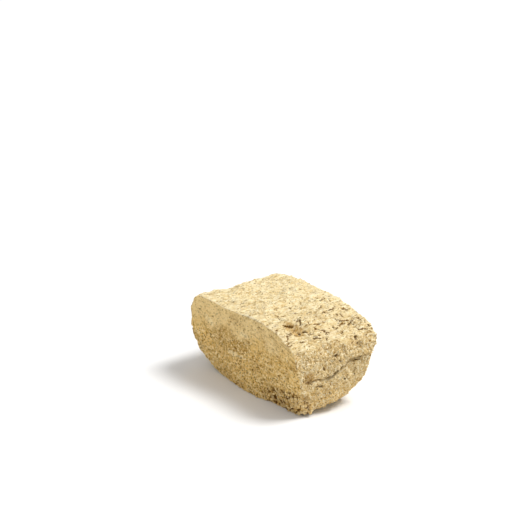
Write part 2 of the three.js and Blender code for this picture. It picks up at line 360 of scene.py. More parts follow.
# Those of the near end are Y and Z: pits, where the crack gapes, and the notch where it begins.
END_STROKES = [
    ((5.5, 25.5), (5.5, 26.0), 0.55),
    ((6.0, 23.5), (6.0, 24.0), 0.55),
    ((-4.5, 21.5), (-3.0, 21.5), 0.45),
    ((-2.5, 19.5), (-2.0, 19.0), 0.40),
    ((-8.5, 18.0), (-8.0, 17.0), 0.40),
    ((-4.5, 11.5), (-4.5, 11.0), 0.40),
    ((0.0, 12.0), (0.5, 12.0), 0.40),
    ((4.5, 13.0), (5.0, 12.5), 0.50),
    ((-5.5, 8.0), (-5.0, 7.5), 0.40),
    ((-11.0, 11.5), (-8.5, 11.0), 0.42),
    ((-6.0, 14.0), (-2.5, 15.5), 0.40),
    ((1.0, 18.0), (4.5, 19.0), 0.40),
    ((5.5, 19.0), (8.0, 19.0), 0.40),
]
NOTCH = [((-14.5, 14.5), (-13.0, 15.0), 2.2)]
# Pale smears, a darker tan patch and pits of the front cut are X and Z.
CUT_SMEARS = [
    ((-1.2, 22.3), (1.8, 22.1), 1.0),
    ((-8.5, 12.8), (-1.0, 13.0), 1.0),
    ((-20.5, 22.0), (-18.0, 20.8), 1.6),
]
CUT_DARKER_PATCH = [((-13.0, 16.8), (0.0, 17.4), 6.0)]
CUT_STROKES = [
    ((23.5, 23.8), (23.6, 23.2), 0.50),
    ((24.8, 13.6), (24.8, 13.3), 0.50),
    ((-17.0, 23.9), (-16.9, 23.8), 0.40),
    ((-25.4, 24.2), (-25.3, 24.1), 0.40),
    ((-20.5, 16.2), (-20.3, 14.6), 0.50),
    ((-5.0, 9.1), (-4.8, 9.0), 0.45),
]
# The crumbly foot of the front cut, up to the corner of the near end, is X, Y and Z.
CRUMBLY_FOOT = [((17.0, -16.0, 0.5), (29.0, -16.5, 3.0), 8.0)]

# Bits strewn over the block, each kind as so many to a square millimetre of each side.
# Smallest and largest are half sizes, and turn and lift are in radians.
FIBRES = {
    "Seed": 11,
    "On top": 0.9,
    "On ends": 1.7,
    "On cuts": 0.15,
    "On crumbly foot": 0.0,
    "Smallest": (0.10, 0.30, 0.08),
    "Largest": (0.20, 0.80, 0.15),
    "Turn on top": 0.6,
    "Lift": 0.4,
    "Bend": 0.5,
    "Bend size": (1.1, 1.1, 1.1),
    "Rounds": 1,
}
HULL_FLECKS = {
    "Seed": 23,
    "On top": 0.09,
    "On ends": 0.12,
    "On cuts": 0.08,
    "On crumbly foot": 0.0,
    "Smallest": (0.09, 0.15, 0.06),
    "Largest": (0.18, 0.45, 0.10),
    "Turn on top": 0.5,
    "Lift": 0.15,
    "Bend": 0.1,
    "Bend size": (0.5, 0.5, 0.5),
    "Rounds": 1,
}
CRUMBS = {
    "Seed": 31,
    "On top": 0.0,
    "On ends": 0.0,
    "On cuts": 0.0,
    "On crumbly foot": 0.9,
    "Smallest": (0.20, 0.25, 0.18),
    "Largest": (0.45, 0.65, 0.40),
    "Turn on top": 1.0,
    "Lift": 0.6,
    "Bend": 0.35,
    "Bend size": (0.6, 0.6, 0.6),
    "Rounds": 2,
}


def linear(colour):
    """The linear value, with alpha, of a colour given as the eye sees it."""
    seen = Color([part / FULL_COLOUR for part in colour])
    return [*seen.from_srgb_to_scene_linear(), 1]


class Net:
    """A node tree in the making. Each call adds a node and gives back one of its outputs."""

    def __init__(self, tree, sizes):
        self.tree = tree
        self.sizes = sizes

    def add(self, kind, inputs=None, output=None, **settings):
        node = self.tree.nodes.new(kind)
        for name, value in settings.items():
            setattr(node, name, value)
        for key, value in (inputs or {}).items():
            socket = self.pick(node.inputs, key)
            if isinstance(value, bpy.types.NodeSocket):
                self.tree.links.new(value, socket)
            else:
                socket.default_value = value
        return self.pick(node.outputs, output)

    @staticmethod
    def pick(sockets, key):
        """A socket by its number, by its name among those in use, or the first in use."""
        if isinstance(key, int):
            return sockets[key]
        return next(socket for socket in sockets if socket.enabled and key in (socket.name, None))

    def math(self, operation, *values):
        return self.add("ShaderNodeMath", dict(enumerate(values)), operation=operation)

    def plus(self, first, *others):
        for other in others:
            first = self.math("ADD", first, other)
        return first

    def minus(self, whole, part):
        return self.math("SUBTRACT", whole, part)

    def rest_of(self, share):
        return self.minus(1.0, share)

    def times(self, first, *others):
        for other in others:
            first = self.math("MULTIPLY", first, other)
        return first

    def most(self, first, *others):
        for other in others:
            first = self.math("MAXIMUM", first, other)
        return first

    def between(self, share, absent, full):
        """One value where a share is 0 and another where it is 1."""
        return self.math("MULTIPLY_ADD", share, full - absent, absent)

    def ramp(self, value, start, end):
        """0 up to start, 1 from end on, smooth between them."""
        inputs = {"Value": value, "From Min": start, "From Max": end}
        return self.add("ShaderNodeMapRange", inputs, interpolation_type="SMOOTHSTEP")

    def fall(self, value, start, end):
        """1 up to start, 0 from end on, smooth between them."""
        return self.rest_of(self.ramp(value, start, end))

    def peaks_and_dips(self, noise, start, end):
        """Where noise about zero is high, and where it is as low."""
        return self.ramp(noise, start, end), self.fall(noise, -end, -start)

    def vector(self, operation, *values, output="Vector"):
        return self.add("ShaderNodeVectorMath", dict(enumerate(values)), output, operation=operation)

    def scaled(self, vector, scale):
        return self.add("ShaderNodeVectorMath", {"Vector": vector, "Scale": scale}, operation="SCALE")

    def parts(self, vector):
        """X, Y and Z of a vector."""
        return self.add("ShaderNodeSeparateXYZ", {"Vector": vector}).node.outputs

    def spread(self, place, size, pattern):
        """Pattern coordinates: one unit for each lump of a size, in a stretch of noise of its own."""
        shift = PATTERNS[pattern] * PATTERN_SHIFT
        return self.vector("ADD", self.vector("DIVIDE", place, size), (shift, shift, shift))

    def noise(self, place, size, pattern, detail=2.0, roughness=0.55):
        """Noise about zero, from lumps of a size."""
        inputs = {"Vector": self.spread(place, size, pattern), "Scale": 1.0}
        inputs |= {"Detail": detail, "Roughness": roughness}
        return self.between(self.add("ShaderNodeTexNoise", inputs, "Fac"), -1.0, 1.0)

    def wander(self, place, size, pattern):
        """A vector of noise about zero, up to half a unit each way."""
        inputs = {"Vector": self.spread(place, size, pattern), "Scale": 1.0}
        return self.vector("SUBTRACT", self.add("ShaderNodeTexNoise", inputs, "Color"), MID_NOISE)

    def strayed(self, place, mark):
        """Places that wander off by up to about a mark's stray, which makes what is drawn there uneven."""
        stray = f"{mark} stray"
        way = self.wander(place, self.sizes[f"{stray} size"], stray)
        return self.vector("ADD", place, self.scaled(way, self.times(2.0, self.sizes[stray])))

    def cells(self, place, size, pattern, output="Distance", feature="F1"):
        """Distance, or another output, in a field of random cells of a size."""
        inputs = {"Vector": self.spread(place, size, pattern), "Scale": 1.0}
        return self.add("ShaderNodeTexVoronoi", inputs, output, feature=feature)

    def cell_shades(self, place, size, pattern):
        """A random value for each cell, 0 to 1."""
        return self.parts(self.cells(place, size, pattern, "Color"))[0]

    def dots(self, place, mark):
        """1 in a mark's dots of mixed sizes, 0 elsewhere. A share of the cells has a dot."""
        size, radius, share = (self.sizes[f"{mark} {measure}"] for measure in ("size", "radius", "share"))
        chosen = self.cell_shades(place, size, mark)
        grown = self.fall(chosen, self.times(share, FULL_DOTS), share)
        reach = self.most(SMALLEST_DOT, self.times(radius, grown))
        return self.fall(self.cells(place, size, mark), self.times(reach, CORE), reach)

    def strokes(self, place, marks, axes):
        """1 along the middle of each stroke, 0 outside it. The axes are those of a stroke's numbers."""
        found = 0.0
        flat = self.vector("MULTIPLY", place, self.on_axes([1.0] * len(axes), axes))
        for start, end, half_width in marks:
            first, last = (self.on_axes(spot, axes) for spot in (start, end))
            run = last - first
            away = self.vector("SUBTRACT", flat, first)
            share = self.vector("DOT_PRODUCT", away, run / run.length_squared, output="Value")
            along = self.add("ShaderNodeClamp", {"Value": share})
            distance = self.vector("DISTANCE", away, self.scaled(run, along), output="Value")
            found = self.most(found, self.fall(distance, CORE * half_width, half_width))
        return found

    @staticmethod
    def on_axes(numbers, axes):
        spot = Vector((0, 0, 0))
        for axis, value in zip(axes, numbers):
            spot["XYZ".index(axis)] = value
        return spot

    def by_side(self, sides, on_top, on_ends, on_cuts):
        """A value that differs from side to side. The sides are how much a place is top, end and cut."""
        top, end, cut = sides
        return self.plus(self.times(top, on_top), self.times(end, on_ends), self.times(cut, on_cuts))

    def stepped(self, level):
        """A height in steps: flat plates with short slopes between them."""
        whole = self.math("FLOOR", level)
        return self.plus(whole, self.ramp(self.minus(level, whole), *SPANS["Flake edge"]))


SOCKET_KINDS = {float: "NodeSocketFloat", int: "NodeSocketInt", tuple: "NodeSocketVector"}


class GrowingTree(Net):
    """A Geometry Nodes tree with a named input for each of its sizes."""

    def __init__(self, name, sizes):
        tree = bpy.data.node_groups.new(name, "GeometryNodeTree")
        tree.interface.new_socket("Geometry", in_out="OUTPUT", socket_type="NodeSocketGeometry")
        tree.interface.new_socket("Geometry", in_out="INPUT", socket_type="NodeSocketGeometry")
        self.settings = {}
        for size, value in sizes.items():
            socket = tree.interface.new_socket(size, in_out="INPUT", socket_type=SOCKET_KINDS[type(value)])
            self.settings[socket.identifier] = value
        super().__init__(tree, tree.nodes.new("NodeGroupInput").outputs)

    def store(self, geometry, name, value, kind="FLOAT"):
        inputs = {"Geometry": geometry, "Name": name, "Value": value}
        return self.add("GeometryNodeStoreNamedAttribute", inputs, data_type=kind, domain="POINT")

    def read(self, name):
        return self.add("GeometryNodeInputNamedAttribute", {"Name": name}, data_type="FLOAT")

    def place_mm(self):
        return self.scaled(self.add("GeometryNodeInputPosition"), 1 / MM)

    def blurred(self, value, rounds, kind, weight=1.0):
        inputs = {"Value": value, "Iterations": rounds, "Weight": weight}
        return self.add("GeometryNodeBlurAttribute", inputs, data_type=kind)

    def blurred_place(self, rounds, weight=1.0):
        return self.blurred(self.add("GeometryNodeInputPosition"), rounds, "FLOAT_VECTOR", weight)

    def to_blurred_place(self, rounds):
        """The way from each place to where it lies on the smoothed surface, in metres."""
        return self.vector("SUBTRACT", self.blurred_place(rounds), self.add("GeometryNodeInputPosition"))

    def set_place(self, geometry, **inputs):
        return self.add("GeometryNodeSetPosition", {"Geometry": geometry, **inputs})

    def move(self, geometry, offset_mm):
        return self.set_place(geometry, Offset=self.scaled(offset_mm, MM))

    def lift_to_floor(self, geometry):
        """Nothing reaches below the floor."""
        place = self.vector("MAXIMUM", self.add("GeometryNodeInputPosition"), FLOOR_LEVEL)
        return self.set_place(geometry, Position=place)

    def smooth(self, geometry):
        return self.add("GeometryNodeSetShadeSmooth", {"Geometry": geometry, "Shade Smooth": True})

    def random(self, draw, least=-1.0, most=1.0):
        return self.add("FunctionNodeRandomValue", {"Min": least, "Max": most, "Seed": DRAWS[draw]})

    def turned(self, rotation, axis, angle):
        by = self.add("FunctionNodeAxisAngleToRotation", {"Axis": axis, "Angle": angle})
        inputs = {"Rotation": rotation, "Rotate By": by}
        return self.add("FunctionNodeRotateRotation", inputs, rotation_space="LOCAL")

    def end(self, geometry, material):
        """Ends the tree: instances become mesh, and the mesh gets its material."""
        real = self.add("GeometryNodeRealizeInstances", {"Geometry": geometry})
        dressed = self.add("GeometryNodeSetMaterial", {"Geometry": real, "Material": material})
        self.tree.links.new(dressed, self.tree.nodes.new("NodeGroupOutput").inputs[0])

    def grow(self, piece):
        """Gives the piece what the tree makes of it as its own plain mesh."""
        modifier = piece.modifiers.new(self.tree.name, "NODES")
        modifier.node_group = self.tree
        for identifier, value in self.settings.items():
            modifier[identifier] = value
        graph = bpy.context.evaluated_depsgraph_get()
        result = piece.evaluated_get(graph)
        mesh = bpy.data.meshes.new_from_object(result, preserve_all_data_layers=True, depsgraph=graph)
        piece.modifiers.remove(modifier)
        piece.data = mesh


class Paint(Net):
    """The node tree of a material."""

    def __init__(self, name):
        self.material = bpy.data.materials.new(name)
        self.material.use_nodes = True
        super().__init__(self.material.node_tree, {**MARKS, **PASTE})
        self.shader = self.tree.nodes["Principled BSDF"]
        roughness, specular = FINISHES[name]
        self.shader.inputs["Roughness"].default_value = roughness
        self.shader.inputs["Specular IOR Level"].default_value = specular

    def finish(self, socket, value):
        self.tree.links.new(value, self.shader.inputs[socket])

    def attributes(self, *names):
        return [self.add("ShaderNodeAttribute", output="Fac", attribute_name=name) for name in names]

    def mixed(self, share, under, over, kind):
        return self.add("ShaderNodeMix", {"Factor": share, "A": under, "B": over}, data_type=kind)

    def laid(self, under, over, *shares):
        """One colour laid over another, by shares that are multiplied."""
        return self.mixed(self.times(*shares), under, linear(over), "RGBA")


def new_piece(name, data):
    piece = bpy.data.objects.new(name, data)
    bpy.context.scene.collection.objects.link(piece)
    return piece


# What tears the sides open, 0 to 1. The relief and the paste's colour draw the same marks from these, and the
# colour darkens the torn strokes and the pits as painted shade.
def torn_strokes(net, place):
    """The strokes of the top, the near end and the front cut."""
    x, y, z = net.parts(place)
    stray = net.strayed(net.strayed(place, "Stroke"), "Stroke edge")
    on_top = broken(net, place, net.strokes(stray, TOP_STROKES, "XY"))
    on_end = net.strokes(stray, END_STROKES, "YZ")
    on_cut = net.strokes(stray, CUT_STROKES, "XZ")
    return net.most(
        net.times(net.ramp(z, *SPANS["Top strokes"]), on_top),
        net.times(net.ramp(x, *SPANS["Near end"]), on_end),
        net.times(net.fall(y, *SPANS["Front cut"]), on_cut),
    )


def broken(net, place, mark):
    """A mark of uneven width, broken off in places."""
    noise = net.noise(place, net.sizes["Break size"], "Break", detail=3.0)
    uneven = net.math("MULTIPLY_ADD", noise, net.sizes["Break strength"], 1.0)
    return net.ramp(net.times(mark, uneven), *SPANS["Broken"])


def top_dashes(net, place):
    """Short fissures along the pressed bar, in clusters, more of them towards the near end."""
    dashes = net.dots(net.strayed(place, "Dash"), "Dash")
    noise = net.noise(place, net.sizes["Dash cluster size"], "Dash cluster")
    nearer = net.ramp(net.parts(place)[0], *SPANS["Nearer dashes"])
    share = net.between(nearer, *SHARES["Nearer dashes"])
    return net.times(dashes, net.ramp(noise, *SPANS["Dash clusters"]), share)


def plate_gaps(net, place):
    """Gaps between the plates that the top breaks into towards the near end."""
    stray = net.strayed(place, "Plate")
    from_gap = net.cells(stray, net.sizes["Plate size"], "Plate", feature="DISTANCE_TO_EDGE")
    noise = net.noise(place, net.sizes["Plate opening size"], "Plate opening")
    nearer = net.ramp(net.parts(place)[0], *SPANS["Nearer plates"])
    gaps = broken(net, place, net.fall(from_gap, *SPANS["Plate gap"]))
    return net.times(gaps, net.ramp(noise, *SPANS["Plate openings"]), nearer)


def end_holes(net, place):
    """Holes and pores of the ends."""
    stray = net.strayed(place, "Hole")
    return net.dots(stray, "Hole"), net.dots(stray, "Pore")


def cut_pores(net, place):
    """Small holes, more of them where the knife tore the paste."""
    pores = net.dots(net.strayed(place, "Cut pore"), "Cut pore")
    return net.times(pores, net.between(torn_patches(net, place), *SHARES["Pores in torn patches"]))


def torn_patches(net, place):
    return net.ramp(net.noise(place, net.sizes["Torn size"], "Torn"), *SPANS["Torn"])


def knife_scratches(net, place):
    inputs = {"Vector": place, "Angle": KNIFE_TILT}
    along_knife = net.add("ShaderNodeVectorRotate", inputs, rotation_type="Y_AXIS")
    return net.noise(along_knife, net.sizes["Scratch size"], "Scratch", detail=3.0)


def smooth_flakes(net, place):
    """Where a flake of the top was pressed smooth."""
    return net.ramp(net.noise(place, net.sizes["Smooth flake size"], "Smooth flake"), *SPANS["Smooth flakes"])


def hollow_roughness(net, place):
    return net.noise(place, net.sizes["Hollow roughness size"], "Hollow roughness", detail=3.0)


def foot_gaps(net, place):
    """How crumbly the foot is, and the distance from the middle of a crumb there, in crumb sizes."""
    from_crumb = net.cells(net.strayed(place, "Corner crumb"), net.sizes["Corner crumb size"], "Corner crumb")
    return net.strokes(place, CRUMBLY_FOOT, "XYZ"), from_crumb


def top_relief(net, place):
    """Fibres and thin flakes along the pressed bar."""
    sizes = net.sizes
    noise = net.noise(place, sizes["Fibre size"], "Fibre", detail=3.0, roughness=0.6)
    fibres = net.times(sizes["Fibre height"], noise)
    rough = net.between(smooth_flakes(net, place), *SHARES["Fibres on smooth flakes"])
    level = net.times(sizes["Flake steps"], net.noise(place, sizes["Flake size"], "Flake", detail=4.0))
    flakes = net.times(sizes["Flake step"], net.stepped(level))
    dashes = net.times(top_dashes(net, place), sizes["Dash depth"])
    gaps = net.times(plate_gaps(net, place), sizes["Plate gap depth"])
    return net.minus(net.plus(net.times(rough, fibres), flakes), net.most(dashes, gaps))


def end_relief(net, place):
    """Lumps, crumbs and grains of the porous ends."""
    sizes = net.sizes
    lumps = net.times(sizes["Lump height"], net.noise(place, sizes["Lump size"], "Lump", detail=3.0))
    from_crumb = net.cells(net.strayed(place, "Crumb"), sizes["Crumb size"], "Crumb")
    crumbs = net.times(sizes["Crumb height"], net.minus(sizes["Crumb radius"], from_crumb))
    noise = net.noise(place, sizes["Grain size"], "End grain", roughness=0.65)
    grains = net.times(sizes["Grain height"], noise)
    hole, pore = end_holes(net, place)
    lost = net.plus(net.times(hole, sizes["Hole depth"]), net.times(pore, sizes["Pore depth"]))
    return net.minus(net.plus(lumps, crumbs, grains), lost)


def cut_relief(net, place):
    """Scratches and grain of the knife cuts, and patches that the knife tore."""
    sizes = net.sizes
    scratches = net.times(sizes["Scratch height"], knife_scratches(net, place))
    noise = net.noise(place, sizes["Grain size"], "Cut grain", detail=3.0, roughness=0.65)
    grains = net.times(sizes["Cut grain height"], noise)
    crumbs = net.cells(place, sizes["Crumb size"], "Tear")
    tears = net.times(torn_patches(net, place), sizes["Torn depth"], crumbs)
    lost = net.plus(tears, net.times(cut_pores(net, place), sizes["Pore depth"]))
    return net.minus(net.plus(scratches, grains), lost)


def softened(net, geometry, normal):
    """The surface smoothed outside its hollows, with its hollows and its gouge partly filled."""
    sizes = net.sizes
    sunk = net.to_blurred_place(sizes["Hollow smoothing"])
    depth = net.vector("DOT_PRODUCT", net.scaled(sunk, 1 / MM), normal, output="Value")
    geometry = net.store(geometry, "deep", net.ramp(depth, *SPANS["Deep"]))
    geometry = net.store(geometry, "hollow", net.ramp(depth, *SPANS["Hollow"]))
    kept = net.most(net.read("hollow"), net.ramp(net.times(depth, -1.0), *SPANS["Bulge"]))
    soft = net.blurred_place(sizes["Smoothing"], net.rest_of(kept))
    filled = net.scaled(sunk, net.times(net.read("hollow"), sizes["Hollow fill"]))
    geometry = net.set_place(geometry, Position=soft, Offset=filled)
    looks_up = net.ramp(net.parts(normal)[2], *SPANS["Gouge bed"])
    in_gouge = net.times(net.strokes(net.place_mm(), GOUGE_BED, "XY"), looks_up)
    around = net.to_blurred_place(sizes["Gouge smoothing"])
    raised = net.scaled(around, net.times(in_gouge, sizes["Gouge fill"]))
    return net.set_place(geometry, Offset=raised)


def relief_tree(material):
    """The solid's surface, softened and given the relief of each of its sides."""
    net = GrowingTree("halva relief", {**RELIEF, **MARKS})
    sizes = net.sizes
    inputs = {"Mesh": sizes["Geometry"], "Level": sizes["Subdivisions"]}
    normal = net.add("GeometryNodeInputNormal")
    geometry = softened(net, net.add("GeometryNodeSubdivideMesh", inputs), normal)

    y, z = net.parts(normal)[1:]
    geometry = net.store(geometry, "top", net.ramp(z, *SPANS["Top"]))
    geometry = net.store(geometry, "cut", net.ramp(net.math("ABSOLUTE", y), *SPANS["Cut"]))
    top, cut, end = net.read("top"), net.read("cut"), net.read("end")
    off_base = net.ramp(z, *SPANS["Base"])
    geometry = net.store(geometry, "end", net.times(net.rest_of(top), net.rest_of(cut), off_base))
    place = net.place_mm()
    low = net.fall(net.parts(place)[2], sizes["Foot start"], sizes["Foot height"])
    geometry = net.store(geometry, "foot", net.times(low, off_base))
    near_cut = net.blurred(cut, sizes["Rim smoothing"], "FLOAT")
    geometry = net.store(geometry, "rim", net.ramp(near_cut, *SPANS["Rim"]))

    even = net.between(net.read("rim"), *SHARES["Relief at rim"])
    reach = net.times(end, even, sizes["Ragged reach"])
    geometry = net.move(geometry, net.scaled(net.wander(place, sizes["Ragged size"], "Ragged"), reach))
    geometry = net.store(geometry, "rest", place, "FLOAT_VECTOR")

    geometry = net.store(geometry, "torn", torn_strokes(net, place))
    crumbly, from_crumb = foot_gaps(net, place)
    geometry = net.store(geometry, "crumbly", net.times(crumbly, off_base))
    from_foot_crumb = net.cells(place, sizes["Foot crumb size"], "Foot crumb")
    foot_crumbs = net.minus(sizes["Foot crumb radius"], from_foot_crumb)
    corner_crumbs = net.minus(sizes["Corner crumb radius"], from_crumb)
    hollow = net.read("hollow")
    height = net.plus(
        net.times(top, even, top_relief(net, place)),
        net.times(end, even, end_relief(net, place)),
        net.times(cut, cut_relief(net, place)),
        net.times(net.read("foot"), sizes["Foot crumb height"], foot_crumbs),
        net.times(net.read("crumbly"), sizes["Corner crumb height"], corner_crumbs),
        net.times(hollow, sizes["Hollow roughness"], hollow_roughness(net, place)),
        net.times(net.read("torn"), net.minus(hollow, 1.0), sizes["Stroke depth"]),
    )
    geometry = net.store(geometry, "height", height)
    geometry = net.move(geometry, net.scaled(normal, net.read("height")))
    net.end(net.smooth(net.lift_to_floor(geometry)), material)
    return net


def strewn_tree(name, kind, material):
    """Slim bits strewn over the block, each lying on its surface, turned, tilted and bent its own way."""
    net = GrowingTree(name, kind)
    sizes = net.sizes
    top, end, cut = net.read("top"), net.read("end"), net.read("cut")
    on_sides = net.by_side((top, end, cut), sizes["On top"], sizes["On ends"], sizes["On cuts"])
    density = net.plus(on_sides, net.times(net.read("crumbly"), sizes["On crumbly foot"]))
    whole = net.rest_of(net.most(net.read("hollow"), net.read("torn")))
    per_square_metre = net.times(density, whole, MM ** -2)
    inputs = {"Mesh": sizes["Geometry"], "Density": per_square_metre, "Seed": sizes["Seed"]}
    spots = net.add("GeometryNodeDistributePointsOnFaces", inputs)
    normal = spots.node.outputs["Normal"]
    spots = net.store(spots, "shade", net.random("Shade", least=0.0))
    bit = net.add("GeometryNodeMeshIcoSphere", {"Radius": MM, "Subdivisions": sizes["Rounds"]})

    flat = net.add("FunctionNodeAlignRotationToVector", {"Vector": normal}, axis="Z")
    inputs = {"Rotation": flat, "Vector": (0.0, 1.0, 0.0)}
    along = net.add("FunctionNodeAlignRotationToVector", inputs, axis="Y", pivot_axis="Z")
    half_turn = net.math("MULTIPLY_ADD", net.rest_of(top), math.pi, sizes["Turn on top"])
    turned = net.turned(along, (0.0, 0.0, 1.0), net.times(half_turn, net.random("Turn")))
    lift = net.times(sizes["Lift"], net.between(top, *SHARES["Lift on top"]))
    tilted = net.turned(turned, (1.0, 0.0, 0.0), net.times(lift, net.random("Tilt")))
    inputs = {"Min": sizes["Smallest"], "Max": sizes["Largest"], "Seed": DRAWS["Size"]}
    scale = net.add("FunctionNodeRandomValue", inputs, data_type="FLOAT_VECTOR")
    inputs = {"Points": spots, "Instance": bit, "Rotation": tilted, "Scale": scale}
    bits = net.add("GeometryNodeInstanceOnPoints", inputs)
    real = net.add("GeometryNodeRealizeInstances", {"Geometry": bits})
    bend = net.scaled(net.wander(net.place_mm(), sizes["Bend size"], "Bend"), sizes["Bend"])
    net.end(net.smooth(net.lift_to_floor(net.move(real, bend))), material)
    return net


def bit_colour(net):
    """The colour of a loose bit, which is paler than the paste it lies on."""
    end, cut = net.attributes("end", "cut")
    colour = net.laid(linear(CREAM), END_CREAM, end, SHARES["End cream bits"])
    # Bits on the cuts take the cuts' tan, with its painted warm bounce light.
    return net.laid(colour, CUT_TAN_AND_WARM_BOUNCE, cut, SHARES["Cut tan bits"])


def mixed_shades(net, place, size, first, second):
    """Random shades of two fields of cells laid over each other, so that no two grains are alike."""
    shades = [net.cell_shades(place, net.sizes[size], field) for field in (first, second)]
    return net.plus(net.times(shades[0], FIRST_FIELD), net.times(shades[1], 1 - FIRST_FIELD))


def grain_shade(net, place):
    """A random shade for each fine grain. Those of the top lie along the pressed bar."""
    top = net.attributes("top")[0]
    stray = net.strayed(place, "Shade")
    along = mixed_shades(net, stray, "Top shade size", "Top shade", "Second top shade")
    every_way = mixed_shades(net, stray, "Shade size", "Shade", "Second shade")
    return net.mixed(top, every_way, along, "FLOAT")


def side_colour(net, place):
    """The paste's colour, which differs from side to side and clouds over. The ends' darker cream is partly
    painted shade, the cuts' warmer tan is partly painted warm bounce light, and low on the ends lies painted
    bounce light from the floor.
    """
    top, end, cut = net.attributes("top", "end", "cut")
    z = net.parts(place)[2]
    # The ends are laid a darker cream, partly painted shade, and the cuts a warmer tan, partly painted warm
    # bounce light.
    colour = net.laid(linear(CREAM), END_CREAM, end)
    colour = net.laid(colour, CUT_TAN_AND_WARM_BOUNCE, cut)
    cloud = net.ramp(net.noise(place, net.sizes["Cloud size"], "Cloud", detail=4.0), *SPANS["Clouds"])
    colour = net.laid(colour, TAN, cloud, net.by_side((top, end, cut), *SHARES["Clouds"]))
    # Lower on the ends, painted bounce light from the floor: a warmer tan, and higher up a lighter tan.
    colour = net.laid(colour, CUT_TAN_AND_WARM_BOUNCE, end, net.fall(z, *SPANS["Low end bounce light"]), SHARES["Low end bounce light"])
    return net.laid(colour, LIGHT_TAN, end, net.fall(z, *SPANS["End bounce light"]), SHARES["End bounce light"])


def cut_colour(net, place, colour):
    """The knife cuts: light and smooth at the top, browner and torn further down. The front cut keeps the
    warmer tan, which is partly painted warm bounce light in shade, and the lit back cut is laid paler.
    """
    cut = net.attributes("cut")[0]
    x, y = net.parts(place)[:2]
    back = net.times(cut, net.math("GREATER_THAN", y, 0.0))
    front = net.minus(cut, back)
    # The lit back cut is laid paler, so that only the shaded front cut keeps the painted warm tan.
    colour = net.laid(colour, CREAM, back, SHARES["Back cut without warm shade"])
    wide_stray = net.strayed(place, "Cut tone")
    # A darker tan patch in the middle of the front cut.
    colour = net.laid(colour, TAN, front, net.strokes(wide_stray, CUT_DARKER_PATCH, "XZ"), SHARES["Darker cut patch"])
    smooth = net.ramp(net.parts(wide_stray)[2], *SPANS["Smooth cut"])
    colour = net.laid(colour, LIGHT_TAN, front, smooth, SHARES["Smooth cut"])
    smears = net.strokes(net.strayed(place, "Smear"), CUT_SMEARS, "XZ")
    colour = net.laid(colour, LIGHT_TAN, front, smears, SHARES["Smears"])
    noise = net.noise(place, net.sizes["Mottle size"], "Mottle", detail=3.0)
    mottle = net.times(noise, net.between(smooth, *SHARES["Mottle on smooth cut"]))
    light, dark = net.peaks_and_dips(mottle, *SPANS["Mottle"])
    colour = net.laid(colour, CREAM, light, cut, SHARES["Light mottle"])
    colour = net.laid(colour, BROWN, dark, cut, SHARES["Dark mottle"])
    nearer = net.between(net.ramp(x, *SPANS["Nearer scratches"]), *SHARES["Nearer scratches"])
    light, dark = net.peaks_and_dips(net.times(knife_scratches(net, place), nearer), *SPANS["Scratches"])
    colour = net.laid(colour, LIGHT_TAN, light, cut, SHARES["Light scratches"])
    return net.laid(colour, BROWN, dark, cut, SHARES["Dark scratches"])


def top_colour(net, place, colour):
    """The top: pale and tan streaks along the pressed bar, pale smooth flakes, a browner near end, and a
    painted highlight along its rim.
    """
    top, rim = net.attributes("top", "rim")
    streak = net.noise(net.strayed(place, "Streak"), net.sizes["Streak size"], "Streak", detail=3.0)
    light, dark = net.peaks_and_dips(streak, *SPANS["Streaks"])
    colour = net.laid(colour, PALE, light, top, SHARES["Pale streaks"])
    colour = net.laid(colour, TAN, dark, top, SHARES["Tan streaks"])
    colour = net.laid(colour, PALE, smooth_flakes(net, place), top, SHARES["Smooth flakes"])
    nearer = net.ramp(net.parts(place)[0], *SPANS["Nearer top"])
    colour = net.laid(colour, TAN, nearer, top, SHARES["Nearer top"])
    # A pale painted highlight along the top's edge over the cuts.
    return net.laid(colour, PALE, rim, top, SHARES["Rim highlight"])


def grain_colour(net, place, colour, shade, lower):
    """Light and dark grains, fewer of them on smooth flakes and high on the cuts."""
    sides = net.attributes("top", "end", "cut")
    noise = net.noise(place, net.sizes["Grainy patch size"], "Grainy patch", detail=3.0)
    grainy = net.ramp(noise, *SPANS["Grainy patches"])
    on_cuts = net.plus(
        SHARES["Grains on cuts"],
        net.times(grainy, SHARES["Grains on grainy cuts"]),
        net.times(lower, SHARES["Grains low on cuts"]),
    )
    on_top = net.between(smooth_flakes(net, place), *SHARES["Grains on smooth flakes"])
    light = net.ramp(shade, *SPANS["Light grains"])
    colour = net.laid(colour, PALE, light, net.by_side(sides, on_top, SHARES["Light grains on ends"], 0.0))
    colour = net.laid(colour, LIGHT_TAN, light, sides[2], on_cuts)
    dark = net.fall(shade, *SPANS["Dark grains"])
    on_top = net.times(on_top, SHARES["Dark against light grains on top"])
    return net.laid(colour, BROWN, dark, net.by_side(sides, on_top, SHARES["Dark grains on ends"], on_cuts))


def torn_lumps(net, place):
    """Where lumps of paste were torn out: the gouge of the top and the notch of the near end."""
    stray = net.strayed(place, "Torn lump")
    x, _, z = net.parts(place)
    gouged = net.times(net.ramp(z, *SPANS["Gouge"]), net.strokes(stray, GOUGE, "XY"))
    notched = net.times(net.ramp(x, *SPANS["Near end"]), net.strokes(stray, NOTCH, "YZ"))
    blotch = net.ramp(net.noise(place, net.sizes["Torn lump size"], "Torn lump"), *SPANS["Torn lumps"])
    return net.times(net.most(gouged, notched), net.between(blotch, *SHARES["Torn lumps"]))


def pits(net, place):
    """All small pits of the top, the ends, the cuts and the crumbly foot, which the paste's colour darkens as
    painted shade.
    """
    top, end, cut = net.attributes("top", "end", "cut")
    hole, pore = end_holes(net, place)
    crumbly, from_crumb = foot_gaps(net, place)
    return net.most(
        net.times(top, net.most(top_dashes(net, place), plate_gaps(net, place))),
        net.times(end, net.most(net.times(SHARES["Holes"], hole), net.times(SHARES["Pores"], pore))),
        net.times(cut, cut_pores(net, place)),
        net.times(crumbly, net.ramp(from_crumb, *SPANS["Corner gap"])),
    )


